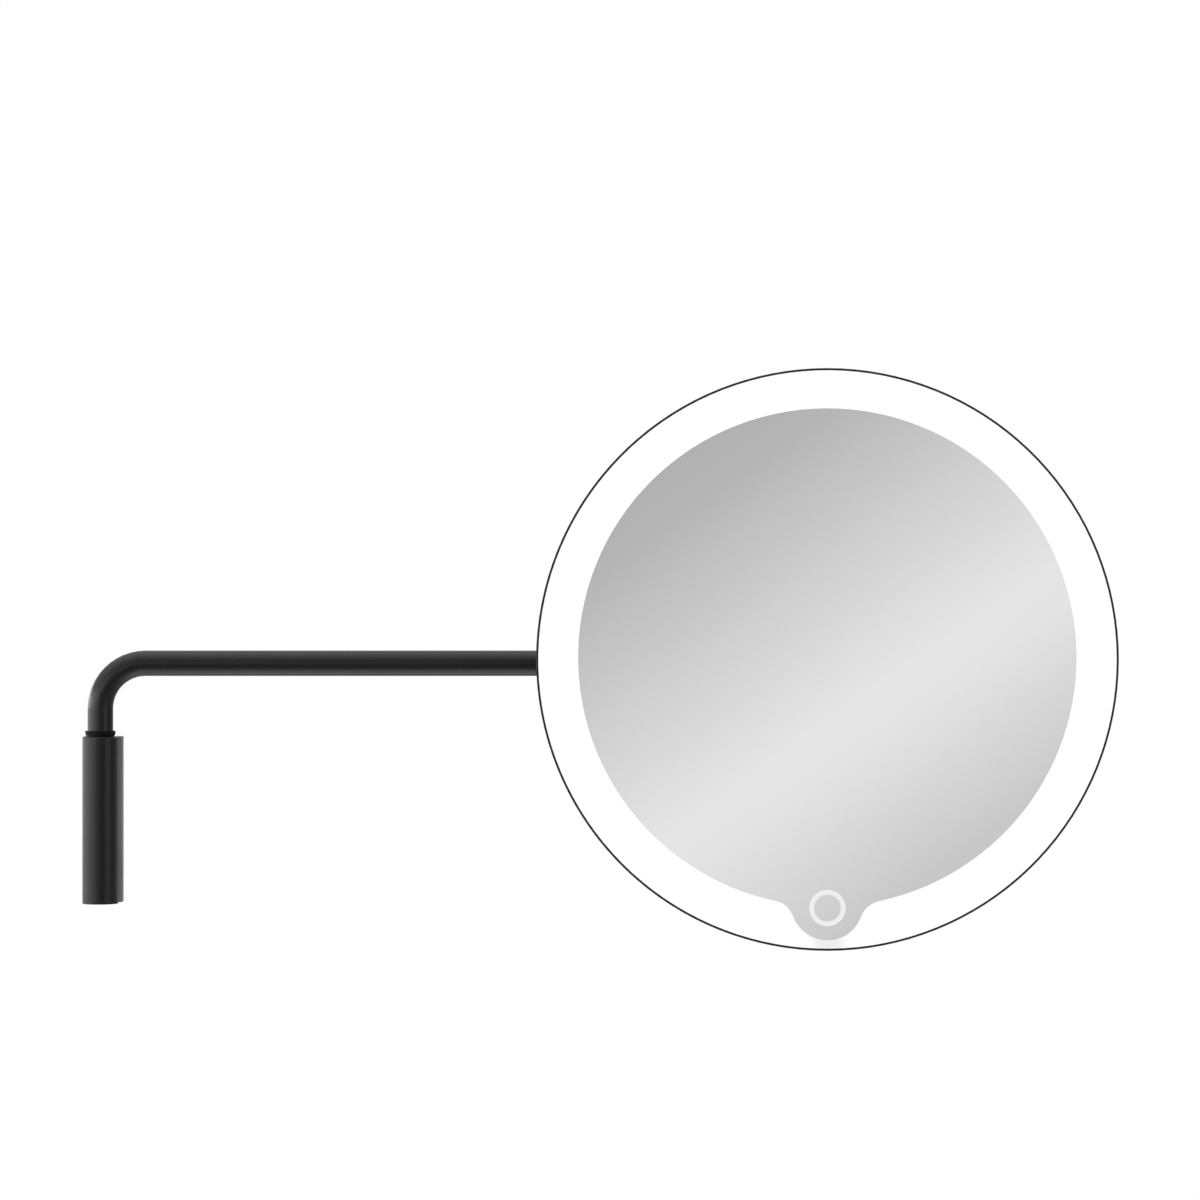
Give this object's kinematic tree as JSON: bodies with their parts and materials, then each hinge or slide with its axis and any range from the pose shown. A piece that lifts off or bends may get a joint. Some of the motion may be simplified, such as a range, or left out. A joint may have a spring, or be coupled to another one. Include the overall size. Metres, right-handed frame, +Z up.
{
  "type": "wall shaving mirror",
  "caption": "Round lit shaving mirror on a bent arm that swings in a wall sleeve; the head turns and tilts on a two-axis friction knuckle behind it.",
  "frame": {"origin": "on the wall plane, midway between the two wall screw holes", "axes": "+Y into the wall, so the mirror looks along -Y; +Z up along the sleeve; +X along the arm's level run"},
  "size_m": [0.362, 0.06, 0.2],
  "materials": {
    "black_metal": "fine matt powder coat",
    "black_housing": "fine spark-eroded texture on moulded ABS",
    "black_polymer": "moulded acetal",
    "natural_polymer": "moulded acetal",
    "zinc_steel": "zinc plated",
    "black_steel": "black oxide screws and pins",
    "silver_mirror": "silvered float glass",
    "opal_ring": "opal acrylic, lit from behind",
    "mark_white": "thin lit ring",
    "white_tray": "moulded",
    "foam_tape": "foam tape",
    "white_strip": "flexible board",
    "led_phosphor": "phosphor",
    "board_green": "solder mask",
    "part_black": "moulded",
    "socket_steel": "drawn shell",
    "battery_foil": "pouch foil",
    "pad_copper": "copper foil",
    "wire_skin": "silicone insulation"
  },
  "bodies": {
    "wall_mount": {"wall_plate": "zinc_steel", "back_channel": "black_metal", "lock_screw": "black_steel", "sleeve_tube": "black_metal", "upper_bushing": "black_polymer", "lower_bushing": "natural_polymer", "thrust_washer": "natural_polymer", "friction_disc": "natural_polymer", "end_cap": "black_polymer"},
    "arm": {"arm_tube": "black_metal", "arm_plug": "zinc_steel", "tension_screw": "black_steel", "spring_washer": "zinc_steel", "arm_eye": "black_metal", "eye_pin": "black_steel"},
    "knuckle": {"swivel_fork": "black_metal", "swivel_washers": "natural_polymer", "swivel_pin": "black_steel", "swivel_screw": "black_steel"},
    "head": {"tilt_bracket": "black_metal", "tilt_washers": "natural_polymer", "tilt_pin": "black_steel", "tilt_screw": "black_steel", "bracket_screws": "black_steel", "rear_housing": "black_housing", "inner_frame": "white_tray", "frame_screws": "black_steel", "mirror_glass": "silver_mirror", "glass_tape": "foam_tape", "light_diffuser": "opal_ring", "touch_mark": "mark_white", "touch_pad": "pad_copper", "led_strip": "white_strip", "led_chips": "led_phosphor", "control_board": "board_green", "board_parts": "part_black", "board_screws": "zinc_steel", "charge_socket": "socket_steel", "battery": "battery_foil", "battery_tape": "foam_tape", "inner_wires": "wire_skin"}
  },
  "joints": [
    {"name": "arm_swing", "type": "hinge", "parent": "wall_mount", "child": "arm", "pos_m": [0, -0.0115, 0], "axis": [0, 0, 1], "range_deg": [-180, 0]},
    {"name": "head_swivel", "type": "hinge", "parent": "arm", "child": "knuckle", "pos_m": [0.255, -0.0115, 0.0556], "axis": [0, 0, 1], "range_deg": [-12, 192]},
    {"name": "head_tilt", "type": "hinge", "parent": "knuckle", "child": "head", "pos_m": [0.255, -0.0295, 0.0556], "axis": [1, 0, 0], "range_deg": [-45, 45]}
  ]
}
